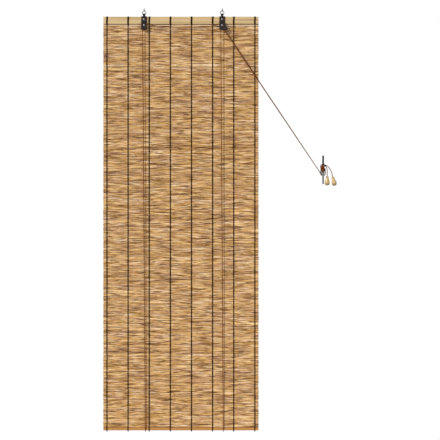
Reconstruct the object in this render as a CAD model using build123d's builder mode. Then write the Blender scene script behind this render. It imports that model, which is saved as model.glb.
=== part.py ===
"""Reed roll-up blind on two screw eyes, with its draw cords made off on a cleat.

Millimetres, +Z up. The blind hangs in the XZ plane and its front faces -Y.
The origin is where the left screw eye enters the underside of the lintel.
"""
import os
from math import atan2, cos, pi, radians, sin, sqrt, tan

from build123d import *

os.makedirs("parts", exist_ok=True)

# ---------------------------------------------------------------- driving dimensions
blind_width = 600.0
blind_height = 1600.0
eye_inset = 157.5            # left edge of the blind to the left screw eye
eye_inset_right = 140.5      # right screw eye to the right edge
hang_drop = 24.5             # lintel down to the top edge of the slat

slat_height = 28.0
slat_thickness = 6.0
rod_diameter = 4.8
rod_gap = 3.2                # slat to rod, bridged by the warp strings
reed_diameter = 4.0
top_reed_gap = 2.0           # rod to first reed
reed_gap = 1.2               # last reed to batten
batten_height = 11.5
batten_rounding = 2.0

string_count = 8
string_inset = 14.0
string_width = 5.0
string_thickness = 0.8
string_tail = 5.0
tail_width = 3.0             # of the knotted tail under the batten
tail_thickness = 2.5
slat_rounding = 1.2

eye_wire = 2.4
eye_ring_outer = 16.6
eye_neck = 1.5               # lintel down to the top of the ring
eye_core_radius = 1.0        # of the threaded shank, without its thread
eye_shank = 6.6
eye_point = 3.2
point_radius = 0.15          # blunt tip of a screw eye or screw

sheet = 1.0                  # bracket steel
neck_width = 9.5
neck_clearance = 0.3
plate_width = 22.2
plate_drop = -1.5            # slat's top edge to where the strap widens into the plate
plate_height = 53.0
plate_corner = 2.0
rear_leg_width = 16.0
rear_leg_height = 22.5
shelf_depth = 7.5
shelf_hole_clearance = 0.4
knot_gap = 0.5               # rear leg to the cord's knot on the shelf
flare_start = 30.0           # from the plate's top edge
flare_reach = 21.2           # from the bracket's centre line
flare_end = 49.0

cheek_step_top = 6.0         # above the wheel, where the cheek leaves the plate
cheek_step_bottom = 1.6      # above the wheel, where it is all the way forward
upper_rivet_drop = 12.3      # from the plate's top edge
wheel_drop = 35.9
wheel_radius = 7.5
wheel_width = 10.6
wheel_clearance = 0.5        # each side of a wheel
groove_clearance = 0.3       # each side of a cord in its groove
groove_wall = 1.2            # between the two grooves of the right wheel
groove_cover = 0.6           # wheel rim beyond the cord in its groove
wheel_chamfer = 0.5
running_clearance = 0.05     # radial, wheel on its axle
axle_radius = 1.5
rivet_radius = 2.0
rivet_head_radius = 4.0
rivet_head_height = 1.4
rivet_tail = 0.8             # rear head's size, as a share of the front one's
roller_radius = 4.0
roller_offset = 11.8         # right of and below the wheel's axle
roller_pin_radius = 1.25
roller_chamfer = 0.4

cord_diameter = 3.0
cord_clearance = 0.3

wall_y = 12.0
cleat_gap = 249.5            # right edge of the blind to the cleat's centre line
cleat_z = -617.0
cleat_length = 111.0
cleat_depth = 23.0           # wall to the front of the bar
cleat_width = 7.0
cleat_thickness = 6.0
cleat_tip_thickness = 4.0
cleat_tip_rise = 4.0
cleat_edge = 0.8             # rounding along the bar
leg_radius = 4.8
leg_spacing = 28.0
foot_thickness = 2.5
foot_width = 12.0
screw_radius = 1.9
screw_core_radius = 1.4      # of the threaded part in the wall, without its thread
screw_bore_clearance = 0.2
screw_head_radius = 3.5
screw_head_height = 2.2
screw_slot_width = 0.9
screw_slot_depth = 1.1
screw_reach = 14.0           # into the wall
screw_point = 3.0
winding_width = 20.0
winding_height = 46.0
winding_band = 19.0

pull_length = 35.0
pull_neck_radius = 5.0
pull_bulb_radius = 9.6
pull_bulb_drop = 25.0
pull_bore_radius = 1.8
pull_knot_radius = 3.4
pull_knot_height = 6.0
pull_pocket_radius = 4.2
pull_pocket_depth = 11.0
pull_rounding = 0.9
pull_tilt = 13.0

end_knot_height = 5.7        # of a lift cord's knot on its shelf
cords_apart = 0.47           # between the two draw cords where they meet the cleat
lead_run = 8.43              # roller to where a draw cord's own length starts

# ---------------------------------------------------------------- worked-out places
cord_radius = cord_diameter / 2
left_edge = -eye_inset
right_edge = blind_width - eye_inset
mid_x = (left_edge + right_edge) / 2
eye_spacing = blind_width - eye_inset - eye_inset_right
cleat_x = right_edge + cleat_gap
slat_top = -hang_drop
slat_bottom = slat_top - slat_height
slat_half = slat_thickness / 2
rod_z = slat_bottom - rod_gap - rod_diameter / 2
mat_top = rod_z - rod_diameter / 2 - top_reed_gap
mat_half = reed_diameter / 2
blind_bottom = slat_top - blind_height
batten_top = blind_bottom + batten_height
mat_bottom = batten_top + reed_gap

eye_ring_radius = (eye_ring_outer - eye_wire) / 2
eye_inner_radius = eye_ring_outer / 2 - eye_wire
eye_z = -eye_neck - eye_ring_outer / 2
neck_rest = sqrt(eye_inner_radius ** 2 - (neck_width / 2) ** 2)
swing_z = eye_z - neck_rest + neck_clearance - slat_half

plate_top = slat_top - plate_drop
plate_bottom = plate_top - plate_height
plate_front = -slat_half - sheet
upper_rivet_z = plate_top - upper_rivet_drop
wheel_z = plate_top - wheel_drop
wheel_y = plate_front - wheel_clearance - wheel_width / 2
cheek_inner = plate_front - wheel_width - 2 * wheel_clearance
cheek_front = cheek_inner - sheet
rear_face = slat_half + sheet
shelf_z = plate_top - rear_leg_height
groove_width = cord_diameter + 2 * groove_clearance
groove_pitch = groove_width + groove_wall
groove_radius = wheel_radius - cord_diameter - cord_clearance - groove_cover
cord_on_wheel = groove_radius + cord_clearance + cord_radius
cord_on_roller = roller_radius + cord_clearance + cord_radius
groove_y_rear = wheel_y + groove_pitch / 2
groove_y_front = wheel_y - groove_pitch / 2
bore_radius = axle_radius + running_clearance
roller_bore_radius = roller_pin_radius + running_clearance
roller_x = eye_spacing + roller_offset
roller_z = wheel_z - roller_offset
knot_y = rear_face + cord_diameter + knot_gap
step_top = wheel_z + wheel_radius + cheek_step_top
step_bottom = wheel_z + wheel_radius + cheek_step_bottom

# The two brackets: where each hangs, and which one flares out over the guide roller.
bracket_x = {"left": 0.0, "right": eye_spacing}


def write(part, name):
    """Label a finished piece and write it as its own STEP file."""
    part.label = name
    export_step(part, f"parts/{name}.step")


# ---------------------------------------------------------------- the mat and its edges
with BuildPart() as top_slat:
    with BuildSketch(Plane.XZ.offset(-slat_half)):
        with Locations((mid_x, (slat_top + slat_bottom) / 2)):
            Rectangle(blind_width, slat_height)
        with Locations(*[(x, upper_rivet_z) for x in bracket_x.values()]):
            Circle(rivet_radius, mode=Mode.SUBTRACT)
    extrude(amount=slat_thickness)
    fillet(top_slat.edges().filter_by(Axis.X), radius=slat_rounding)
write(top_slat.part, "top_slat")

with BuildPart() as top_rod:
    with BuildSketch(Plane.YZ.offset(left_edge)):
        with Locations((0, rod_z)):
            Circle(rod_diameter / 2)
    extrude(amount=blind_width)
write(top_rod.part, "top_rod")

with BuildPart() as reed_mat:
    with BuildSketch(Plane.YZ.offset(left_edge)):
        with Locations((0, (mat_top + mat_bottom) / 2)):
            Rectangle(reed_diameter, mat_top - mat_bottom)
    extrude(amount=blind_width)
write(reed_mat.part, "reed_mat")

with BuildPart() as bottom_batten:
    with BuildSketch(Plane.YZ.offset(left_edge)):
        with Locations((0, (batten_top + blind_bottom) / 2)):
            RectangleRounded(slat_thickness, batten_height, batten_rounding)
    extrude(amount=blind_width)
write(bottom_batten.part, "bottom_batten")

# Each warp string is one loop: down the front, under the batten, up the back and over the slat.
mat_step_top = (rod_z - rod_diameter / 2, mat_top)
mat_step_bottom = (mat_bottom, batten_top)


def string_half(proud):
    """Half of the loop's outline, standing proud of the blind's own faces."""
    slat_side = slat_half + proud
    mat_side = mat_half + proud
    return [
        (0, slat_top + proud),
        (slat_side, slat_top + proud),
        (slat_side, mat_step_top[0]),
        (mat_side, mat_step_top[1]),
        (mat_side, mat_step_bottom[0]),
        (slat_side, mat_step_bottom[1]),
        (slat_side, blind_bottom - proud),
        (0, blind_bottom - proud),
    ]


for index in range(string_count):
    pitch = (blind_width - 2 * string_inset) / (string_count - 1)
    string_x = left_edge + string_inset + index * pitch
    with BuildPart() as warp_string:
        with BuildSketch(Plane.YZ.offset(string_x - string_width / 2)):
            with BuildLine():
                outer = Polyline(*string_half(string_thickness))
                mirror(outer, about=Plane.YZ)
            make_face()
            with BuildLine():
                inner = Polyline(*string_half(0))
                mirror(inner, about=Plane.YZ)
            make_face(mode=Mode.SUBTRACT)
        extrude(amount=string_width)
        with BuildSketch(Plane.XY.offset(blind_bottom - string_thickness)):
            with Locations((string_x, 0)):
                RectangleRounded(tail_width, tail_thickness, string_thickness)
        extrude(amount=-string_tail)
    write(warp_string.part, f"warp_string_{index + 1}")

# ---------------------------------------------------------------- screw eyes
for side, x in bracket_x.items():
    with BuildPart() as screw_eye:
        with Locations(Location((x, 0, eye_z), (90, 0, 0))):
            Torus(eye_ring_radius, eye_wire / 2)
        with BuildSketch(Plane.XZ):
            with BuildLine():
                Polyline(
                    (x, -eye_neck - eye_wire / 2),
                    (x + eye_wire / 2, -eye_neck - eye_wire / 2),
                    (x + eye_wire / 2, 0),
                    (x + eye_core_radius, 0),
                    (x + eye_core_radius, eye_shank),
                    (x + point_radius, eye_shank + eye_point),
                    (x, eye_shank + eye_point),
                    close=True,
                )
            make_face()
        revolve(axis=Axis((x, 0, 0), (0, 0, 1)))
    write(screw_eye.part, f"screw_eye_{side}")

# ---------------------------------------------------------------- hanging brackets


def outline(x, flared):
    """Front outline of a bracket's plate and cheek; the lead bracket flares to its right."""
    half = plate_width / 2
    reach = flare_reach if flared else half
    knee = plate_top - flare_start
    heel = plate_top - flare_end
    points = [
        (x - half, plate_top),
        (x + half, plate_top),
        (x + half, knee),
        (x + reach, heel),
        (x + reach, plate_bottom),
        (x - half, plate_bottom),
    ]
    return points if flared else [points[0], points[1], points[4], points[5]]


for side, x in bracket_x.items():
    flared = side == "right"
    pins = [(x, wheel_z, axle_radius)]
    if flared:
        pins.append((x + roller_offset, wheel_z - roller_offset, roller_pin_radius))

    # One folded strip: front plate, neck over the ring's wire, rear leg and cord shelf.
    with BuildPart() as hanger:
        with BuildSketch(Plane.XZ.offset(slat_half)) as plate_sketch:
            with BuildLine():
                Polyline(*outline(x, flared), close=True)
            make_face()
            fillet(plate_sketch.vertices(), radius=plate_corner)
            with Locations((x, upper_rivet_z)):
                Circle(rivet_radius, mode=Mode.SUBTRACT)
            for pin_x, pin_z, pin_radius in pins:
                with Locations((pin_x, pin_z)):
                    Circle(pin_radius, mode=Mode.SUBTRACT)
        extrude(amount=sheet)
        with BuildSketch(Plane.YZ.offset(x - neck_width / 2)):
            with Locations((0, swing_z)):
                Circle(rear_face)
            with Locations((0, (swing_z + plate_top) / 2 - sheet)):
                Rectangle(2 * rear_face, swing_z - plate_top + 2 * sheet)
            with Locations((0, swing_z)):
                Circle(slat_half, mode=Mode.SUBTRACT)
            with Locations((0, (swing_z + plate_top) / 2 - sheet)):
                Rectangle(2 * slat_half, swing_z - plate_top + 2 * sheet, mode=Mode.SUBTRACT)
        extrude(amount=neck_width)
        with BuildSketch(Plane.XZ.offset(-rear_face)) as leg_sketch:
            with Locations((x, plate_top - rear_leg_height / 2)):
                Rectangle(rear_leg_width, rear_leg_height)
            fillet(leg_sketch.vertices().group_by(Axis.Z)[-1], radius=plate_corner)
            with Locations((x, upper_rivet_z)):
                Circle(rivet_radius, mode=Mode.SUBTRACT)
        extrude(amount=sheet)
        with BuildSketch(Plane.XY.offset(shelf_z)) as shelf_sketch:
            with Locations((x, slat_half + (sheet + shelf_depth) / 2)):
                Rectangle(rear_leg_width, sheet + shelf_depth)
            fillet(shelf_sketch.vertices().group_by(Axis.Y)[-1], radius=plate_corner)
            with Locations((x, knot_y)):
                Circle(cord_radius + shelf_hole_clearance, mode=Mode.SUBTRACT)
        extrude(amount=-sheet)
    write(hanger.part, f"hanger_{side}")

    # The cheek lies on the plate above, and steps forward over the wheel.
    with BuildPart() as cheek:
        with BuildSketch(Plane.YZ.offset(x - flare_reach)):
            with BuildLine():
                Polyline(
                    (plate_front, plate_top),
                    (plate_front - sheet, plate_top),
                    (plate_front - sheet, step_top + sheet / 2),
                    (cheek_front, step_bottom + sheet / 2),
                    (cheek_front, plate_bottom),
                    (cheek_inner, plate_bottom),
                    (cheek_inner, step_bottom),
                    (plate_front, step_top),
                    close=True,
                )
            make_face()
        extrude(amount=2 * flare_reach)
        with BuildSketch(Plane.XZ.offset(-plate_front)) as front_sketch:
            with BuildLine():
                Polyline(*outline(x, flared), close=True)
            make_face()
            fillet(front_sketch.vertices(), radius=plate_corner)
            with Locations((x, upper_rivet_z)):
                Circle(rivet_radius, mode=Mode.SUBTRACT)
            for pin_x, pin_z, pin_radius in pins:
                with Locations((pin_x, pin_z)):
                    Circle(pin_radius, mode=Mode.SUBTRACT)
        extrude(amount=plate_front - cheek_front, mode=Mode.INTERSECT)
    write(cheek.part, f"cheek_{side}")

    # Rivet through cheek, plate, slat and rear leg.
    with BuildPart() as slat_rivet:
        head_y = plate_front - sheet
        with BuildSketch(Plane.XY.offset(upper_rivet_z)):
            with BuildLine():
                Polyline(
                    (x, head_y - rivet_head_height),
                    (x, rear_face + rivet_head_height * rivet_tail),
                    (x + rivet_head_radius * rivet_tail, rear_face + rivet_head_height * rivet_tail),
                    (x + rivet_head_radius, rear_face),
                    (x + rivet_radius, rear_face),
                    (x + rivet_radius, head_y),
                    (x + rivet_head_radius, head_y),
                )
                TangentArc(
                    (x, head_y - rivet_head_height),
                    (x + rivet_head_radius, head_y),
                    tangent=(1, 0),
                )
            make_face()
        revolve(axis=Axis((x, 0, upper_rivet_z), (0, 1, 0)))
    write(slat_rivet.part, f"slat_rivet_{side}")

    # The axle is flush behind the plate and has a domed head in front of the cheek.
    with BuildPart() as axle:
        with BuildSketch(Plane.XY.offset(wheel_z)):
            with BuildLine():
                Polyline(
                    (x, cheek_front - rivet_head_height),
                    (x, -slat_half),
                    (x + axle_radius, -slat_half),
                    (x + axle_radius, cheek_front),
                    (x + rivet_head_radius, cheek_front),
                )
                TangentArc(
                    (x, cheek_front - rivet_head_height),
                    (x + rivet_head_radius, cheek_front),
                    tangent=(1, 0),
                )
            make_face()
        revolve(axis=Axis((x, 0, wheel_z), (0, 1, 0)))
    write(axle.part, f"wheel_axle_{side}")

    # The left wheel carries one cord; the right wheel carries both, side by side.
    grooves = [groove_y_rear, groove_y_front] if flared else [wheel_y]
    with BuildPart() as wheel:
        with BuildSketch(Plane.XZ.offset(-wheel_y - wheel_width / 2)):
            with Locations((x, wheel_z)):
                Circle(wheel_radius)
                Circle(bore_radius, mode=Mode.SUBTRACT)
        extrude(amount=wheel_width)
        rims = wheel.edges().filter_by(GeomType.CIRCLE).sort_by(SortBy.RADIUS)
        chamfer(rims[-2:], length=wheel_chamfer)
        for groove_y in grooves:
            with BuildSketch(Plane.XZ.offset(-groove_y - groove_width / 2)):
                with Locations((x, wheel_z)):
                    Circle(wheel_radius + 1)
                    Circle(groove_radius, mode=Mode.SUBTRACT)
            extrude(amount=groove_width, mode=Mode.SUBTRACT)
    write(wheel.part, f"pulley_wheel_{side}")

    # Knot on top of the shelf: the fixed end of the lift cord.
    with BuildPart() as end_knot:
        with BuildSketch(Plane.XY.offset(shelf_z)):
            with Locations((x, knot_y)):
                Circle(cord_diameter)
        extrude(amount=end_knot_height)
        fillet(end_knot.edges(), radius=cord_radius)
    write(end_knot.part, f"cord_knot_{side}")

with BuildPart() as guide_roller:
    with BuildSketch(Plane.XZ.offset(-wheel_y - wheel_width / 2)):
        with Locations((roller_x, roller_z)):
            Circle(roller_radius)
            Circle(roller_bore_radius, mode=Mode.SUBTRACT)
    extrude(amount=wheel_width)
    rims = guide_roller.edges().filter_by(GeomType.CIRCLE).sort_by(SortBy.RADIUS)
    chamfer(rims[-2:], length=roller_chamfer)
write(guide_roller.part, "guide_roller")

with BuildPart() as roller_pin:
    with BuildSketch(Plane.XZ.offset(slat_half)):
        with Locations((roller_x, roller_z)):
            Circle(roller_pin_radius)
    extrude(amount=-slat_half - cheek_front)
write(roller_pin.part, "roller_pin")

# ---------------------------------------------------------------- cleat on the wall
bar_front = wall_y - cleat_depth
bar_rear = bar_front + cleat_thickness
foot_front = wall_y - foot_thickness
leg_places = [(cleat_x, cleat_z + sign * leg_spacing / 2) for sign in (1, -1)]

with BuildPart() as cleat:
    half = cleat_length / 2
    flat_half = leg_spacing / 2 + leg_radius
    tip_front = bar_front - cleat_tip_rise
    tip_rear = tip_front + cleat_tip_thickness
    with BuildSketch(Plane.YZ.offset(cleat_x - cleat_width / 2)):
        with BuildLine():
            Line((bar_front, cleat_z - flat_half), (bar_front, cleat_z + flat_half))
            Line((bar_rear, cleat_z - flat_half), (bar_rear, cleat_z + flat_half))
            for sign in (1, -1):
                knee_z = cleat_z + sign * flat_half
                tip_z = cleat_z + sign * half
                TangentArc((bar_front, knee_z), (tip_front, tip_z), tangent=(0, sign))
                TangentArc((bar_rear, knee_z), (tip_rear, tip_z), tangent=(0, sign))
                Line((tip_front, tip_z), (tip_rear, tip_z))
        make_face()
    extrude(amount=cleat_width)
    tips = cleat.faces().filter_by(Axis.Z)
    fillet(tips.edges().filter_by(Axis.Y), radius=cleat_width * 0.45)
    sides = cleat.faces().filter_by(Axis.X)
    fillet(sides.edges(), radius=cleat_edge)
    with BuildSketch(Plane.XZ.offset(-bar_front)):
        with Locations(*leg_places):
            Circle(leg_radius)
    extrude(amount=-cleat_depth)
    with BuildSketch(Plane.XZ.offset(-wall_y)):
        with Locations((cleat_x, cleat_z)):
            SlotOverall(leg_spacing + foot_width, foot_width, rotation=90)
    extrude(amount=foot_thickness)
    with BuildSketch(Plane.XZ.offset(-bar_front)):
        with Locations(*leg_places):
            Circle(screw_radius + screw_bore_clearance)
    extrude(amount=-cleat_depth, mode=Mode.SUBTRACT)
write(cleat.part, "cleat")

for place, screw_z, slot_turn in (("upper", leg_places[0][1], 25), ("lower", leg_places[1][1], -40)):
    head_front = bar_front - screw_head_height
    shank_end = wall_y + screw_reach
    with BuildPart() as cleat_screw:
        with BuildSketch(Plane.XY.offset(screw_z)):
            with BuildLine():
                Polyline(
                    (cleat_x, head_front),
                    (cleat_x, shank_end + screw_point),
                    (cleat_x + point_radius, shank_end + screw_point),
                    (cleat_x + screw_core_radius, shank_end),
                    (cleat_x + screw_core_radius, wall_y),
                    (cleat_x + screw_radius, wall_y),
                    (cleat_x + screw_radius, bar_front),
                    (cleat_x + screw_head_radius, bar_front),
                )
                TangentArc(
                    (cleat_x, head_front),
                    (cleat_x + screw_head_radius, bar_front),
                    tangent=(1, 0),
                )
            make_face()
        revolve(axis=Axis((cleat_x, 0, screw_z), (0, 1, 0)))
        with BuildSketch(Plane.XZ.offset(-head_front)):
            with Locations((cleat_x, screw_z)):
                Rectangle(screw_head_radius * 2, screw_slot_width, rotation=slot_turn)
        extrude(amount=-screw_slot_depth, mode=Mode.SUBTRACT)
    write(cleat_screw.part, f"cleat_screw_{place}")

# The cords' figure-of-eight turns under the horns, as one body round the legs and the bar.
with BuildPart() as cord_winding:
    ring_front = bar_rear + cord_clearance
    ring_rear = foot_front - cord_clearance
    band_front = bar_front - cord_clearance - cord_diameter
    with BuildSketch(Plane.XZ.offset(-ring_rear)):
        with Locations((cleat_x, cleat_z)):
            SlotOverall(winding_height, winding_width, rotation=90)
        with Locations(*leg_places):
            Circle(leg_radius + cord_clearance, mode=Mode.SUBTRACT)
    extrude(amount=ring_rear - ring_front)
    with BuildSketch(Plane.XZ.offset(-ring_front)):
        with Locations((cleat_x, cleat_z)):
            Rectangle(winding_width, winding_band)
    extrude(amount=ring_front - band_front)
    with BuildSketch(Plane.XZ.offset(-ring_front)):
        with Locations((cleat_x, cleat_z)):
            Rectangle(cleat_width + 2 * cord_clearance, winding_band)
    extrude(amount=cleat_thickness + 2 * cord_clearance, mode=Mode.SUBTRACT)
write(cord_winding.part, "cord_winding")

# ---------------------------------------------------------------- wooden pulls
pulls = {
    "1": {"top": (cleat_x + 15.7, wall_y - 22.5, cleat_z - 24.9), "tilt": 0.0},
    "2": {"top": (cleat_x + 37.0, wall_y - 22.5, cleat_z - 26.8), "tilt": pull_tilt},
}


def on_pull(pull, distance):
    """A point on a pull's own axis, so far below its top."""
    x, y, z = pull["top"]
    tilt = radians(pull["tilt"])
    return (x + distance * sin(tilt), y, z - distance * cos(tilt))


for number, pull in pulls.items():
    tilt = radians(pull["tilt"])
    upward = (-sin(tilt), 0, cos(tilt))
    pull_plane = Plane(origin=pull["top"], x_dir=(cos(tilt), 0, sin(tilt)), z_dir=(0, -1, 0))
    pull_axis = Axis(pull["top"], upward)
    knot_drop = pull_length - pull_pocket_depth
    with BuildPart() as wooden_pull:
        with BuildSketch(pull_plane):
            with BuildLine():
                Polyline(
                    (pull_pocket_radius, -pull_length),
                    (pull_pocket_radius, -knot_drop),
                    (pull_bore_radius, -knot_drop),
                    (pull_bore_radius, 0),
                    (pull_neck_radius - pull_rounding, 0),
                )
                TangentArc(
                    (pull_neck_radius - pull_rounding, 0),
                    (pull_neck_radius, -pull_rounding),
                    tangent=(1, 0),
                )
                Spline(
                    (pull_neck_radius, -pull_rounding),
                    (pull_bulb_radius, -pull_bulb_drop),
                    tangents=[(0, -1), (0, -1)],
                    tangent_scalars=[1.1, 0.9],
                )
                Spline(
                    (pull_bulb_radius, -pull_bulb_drop),
                    (pull_pocket_radius, -pull_length),
                    tangents=[(0, -1), (-1, 0)],
                    tangent_scalars=[1.1, 0.8],
                )
            make_face()
        revolve(axis=pull_axis)
    write(wooden_pull.part, f"wooden_pull_{number}")

    with BuildPart() as pull_knot:
        with BuildSketch(Plane(origin=on_pull(pull, knot_drop), z_dir=upward)):
            Circle(pull_knot_radius)
        extrude(amount=-pull_knot_height)
        fillet(pull_knot.edges(), radius=cord_radius * 0.8)
    write(pull_knot.part, f"pull_knot_{number}")

# ---------------------------------------------------------------- cords
# Routes are points chosen along each cord. Below the bottom batten and on the wheels
# the bend is set by what the cord goes round; elsewhere it is as large as the runs allow.
under_y = slat_half + string_thickness + cord_clearance * 2 + cord_radius
under_z = blind_bottom - string_thickness - cord_clearance * 2 - cord_radius - 1.0
over_z = wheel_z + cord_on_wheel
under_radius = under_y - cord_clearance
wheel_arc = cord_on_wheel - 0.2
fall_x = eye_spacing + wheel_arc

# The draw cords run straight from the guide roller to the cleat, a tangent to the roller.
made_off_x = cleat_x - 8.92
made_off_y = wall_y - 12.12
made_off_z = cleat_z - 13.93
off_x = made_off_x - roller_x
off_z = made_off_z - roller_z
off_length = sqrt(off_x ** 2 + off_z ** 2 - cord_on_roller ** 2)
lead_slope = atan2(off_x, -off_z) + atan2(cord_on_roller, off_length)
lead_x = roller_x - cord_on_roller * cos(lead_slope)
lead_z = roller_z - cord_on_roller * sin(lead_slope)
exit_x = lead_x + lead_run * sin(lead_slope)
exit_z = lead_z - lead_run * cos(lead_slope)
turn_x = roller_x - cord_on_roller + 0.1
turn_z = lead_z + (lead_x - turn_x) / tan(lead_slope)

lead_exit_left = (exit_x, groove_y_rear, exit_z)
lead_exit_right = (exit_x, groove_y_front, exit_z)

lift_cord_left = [
    (0, knot_y, shelf_z),
    (5.2, under_y, under_z),
    (5.2, -under_y, under_z),
    (-cord_on_wheel, wheel_y, over_z),
    (7, wheel_y + 0.1, over_z - 0.1),
    (eye_spacing * 0.126, wheel_y + 0.4, wheel_z - 0.9),
    (eye_spacing * 0.285, wheel_y + 0.8, wheel_z - 6.3),
    (eye_spacing * 0.464, wheel_y + 1.2, wheel_z - 9.0),
    (eye_spacing * 0.649, wheel_y + 1.6, wheel_z - 8.3),
    (eye_spacing * 0.821, wheel_y + 2.0, wheel_z - 3.7),
    (eye_spacing - 16, wheel_y + 2.3, over_z - 2.7),
    (eye_spacing - 6, groove_y_rear, over_z - 0.4),
    (fall_x, groove_y_rear, over_z),
    (turn_x, groove_y_rear - 0.11, turn_z),
    lead_exit_left,
]
lift_cord_right = [
    (eye_spacing, knot_y, shelf_z),
    (eye_spacing + 4.5, under_y, under_z),
    (eye_spacing + 4.5, -under_y, under_z),
    (eye_spacing - cord_on_wheel, groove_y_front, over_z),
    (fall_x, groove_y_front, over_z - 0.05),
    (turn_x, groove_y_front - 0.13, turn_z),
    lead_exit_right,
]
draw_cord_left = [lead_exit_left, (made_off_x, made_off_y, made_off_z)]
draw_cord_right = [
    lead_exit_right,
    (made_off_x, made_off_y - cord_diameter - cords_apart, made_off_z),
]
tail_cord_1 = [
    (cleat_x + 7.5, wall_y - 13.0, cleat_z + 16.5),
    (cleat_x + 12.0, wall_y - 17.5, cleat_z + 14.0),
    (cleat_x + 14.8, wall_y - 21.0, cleat_z + 6.0),
    (cleat_x + 15.9, wall_y - 22.5, cleat_z - 6.0),
    on_pull(pulls["1"], -6),
    on_pull(pulls["1"], knot_drop),
]
tail_cord_2 = [
    (cleat_x + 5.0, wall_y - 8.5, cleat_z + 20.0),
    (cleat_x + 12.5, wall_y - 11.7, cleat_z + 18.5),
    (cleat_x + 21.0, wall_y - 17.0, cleat_z + 11.5),
    (cleat_x + 28.0, wall_y - 21.0, cleat_z + 1.0),
    (cleat_x + 33.3, wall_y - 22.4, cleat_z - 11.0),
    on_pull(pulls["2"], -6),
    on_pull(pulls["2"], knot_drop),
]


def bend_radii(route, set_radii):
    """Each inner point's arc: what it goes round, or as large as its two runs allow."""
    points = [Vector(*point) for point in route]
    radii = []
    for index in range(1, len(points) - 1):
        run_in = points[index] - points[index - 1]
        run_out = points[index + 1] - points[index]
        half_turn = radians(run_in.get_angle(run_out) / 2)
        natural = 0.45 * min(run_in.length, run_out.length) / tan(half_turn)
        radii.append(set_radii.get(index, natural))
    return radii


cord_routes = {
    "lift_cord_left": (
        lift_cord_left,
        {1: under_radius, 2: under_radius, 3: wheel_arc, 12: wheel_arc, 13: cord_on_roller},
    ),
    "lift_cord_right": (
        lift_cord_right,
        {1: under_radius, 2: under_radius, 3: wheel_arc, 4: wheel_arc - 0.2, 5: cord_on_roller},
    ),
    "draw_cord_left": (draw_cord_left, {}),
    "draw_cord_right": (draw_cord_right, {}),
    "tail_cord_1": (tail_cord_1, {}),
    "tail_cord_2": (tail_cord_2, {}),
}
for name, (route, set_radii) in cord_routes.items():
    radii = bend_radii(route, set_radii)
    with BuildPart() as cord:
        with BuildLine() as path:
            if radii:
                FilletPolyline(*route, radius=radii)
            else:
                Line(*route)
        with BuildSketch(Plane(origin=path.line @ 0, z_dir=path.line % 0)):
            Circle(cord_radius)
        sweep()
    length = sum(edge.length for edge in path.edges())
    filled = cord.part.volume / (pi * cord_radius ** 2 * length)
    print(f"{name}: length {length:.1f}, tube fills {filled:.4f} of section x length,",
          "radii", [round(radius, 1) for radius in radii])
    print("   route", [tuple(round(value, 2) for value in point) for point in route])
    write(cord.part, name)
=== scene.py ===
"""Reed roll up blind: bound reeds under a slat, with its brackets, cords, cleat and wooden pulls."""
import math
from functools import wraps

import bpy
import numpy as np
from bpy.props import FloatProperty, FloatVectorProperty, IntProperty, PointerProperty
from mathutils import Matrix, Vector


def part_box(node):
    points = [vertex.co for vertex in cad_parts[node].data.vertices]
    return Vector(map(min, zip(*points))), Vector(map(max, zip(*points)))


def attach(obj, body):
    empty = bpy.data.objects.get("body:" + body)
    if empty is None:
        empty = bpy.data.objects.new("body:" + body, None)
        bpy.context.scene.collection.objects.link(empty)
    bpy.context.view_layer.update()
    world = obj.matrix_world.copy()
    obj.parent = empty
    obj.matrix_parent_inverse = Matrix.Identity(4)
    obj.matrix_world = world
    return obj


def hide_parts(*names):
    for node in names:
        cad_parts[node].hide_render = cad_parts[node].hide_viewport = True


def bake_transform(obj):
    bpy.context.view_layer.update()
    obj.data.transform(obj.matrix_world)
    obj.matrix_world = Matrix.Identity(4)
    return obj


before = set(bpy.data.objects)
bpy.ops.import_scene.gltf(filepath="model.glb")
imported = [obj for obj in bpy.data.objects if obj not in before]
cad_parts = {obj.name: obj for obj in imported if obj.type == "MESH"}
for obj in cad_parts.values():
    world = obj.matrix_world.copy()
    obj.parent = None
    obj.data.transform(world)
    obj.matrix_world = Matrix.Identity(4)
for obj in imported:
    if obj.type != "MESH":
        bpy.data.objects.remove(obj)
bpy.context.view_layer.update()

bl_info = {
    "name": "Reed Roll Up Blind",
    "version": (1, 0, 0),
    "blender": (4, 5, 0),
    "location": "3D View > Sidebar > Reed Blind",
    "description": "Builds a reed roll up blind with its fittings around the packed model",
    "category": "Object",
}

FIXINGS, BLIND = "fixings", "blind"
SIDES = ("left", "right")


# ---------------------------------------------------------------- sizes and colours
def length_property(name, description, default):
    return FloatProperty(name=name, description=description, default=default, unit="LENGTH", precision=4)


def colour_property(name, description, default):
    return FloatVectorProperty(name=name, description=description, default=default, subtype="COLOR",
                               size=3, min=0.0, max=1.0)


class ReedBlindSizes(bpy.types.PropertyGroup):
    """Sizes of the pieces that are made here"""

    reed_count: IntProperty(name="Reeds", description="Number of reeds in the mat", default=367)
    reed_wobble: length_property("Reed wobble", "How far a reed strays from straight", 0.00022)
    reed_wall: FloatProperty(name="Reed hollow", description="Hollow's width as a share of the reed's",
                             default=0.5, subtype="FACTOR")
    reed_press: length_property("Reed press", "How far neighbouring reeds press into each other", 0.00024)
    edge_fray: length_property("Edge fray", "How unevenly the reeds are cut along the edges", 0.0014)
    twine_width: length_property("Twine width", "Width of one flattened yarn", 0.0047)
    twine_thickness: length_property("Twine thickness", "Thickness of one flattened yarn", 0.0014)
    twine_cross: length_property("Twine crossing", "How far the yarns swing to each side", 0.0011)
    cord_diameter: length_property("Cord diameter", "Diameter of the braided cord", 0.003)
    thread_pitch: length_property("Thread pitch", "Pitch of the screw threads", 0.0013)


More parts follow.
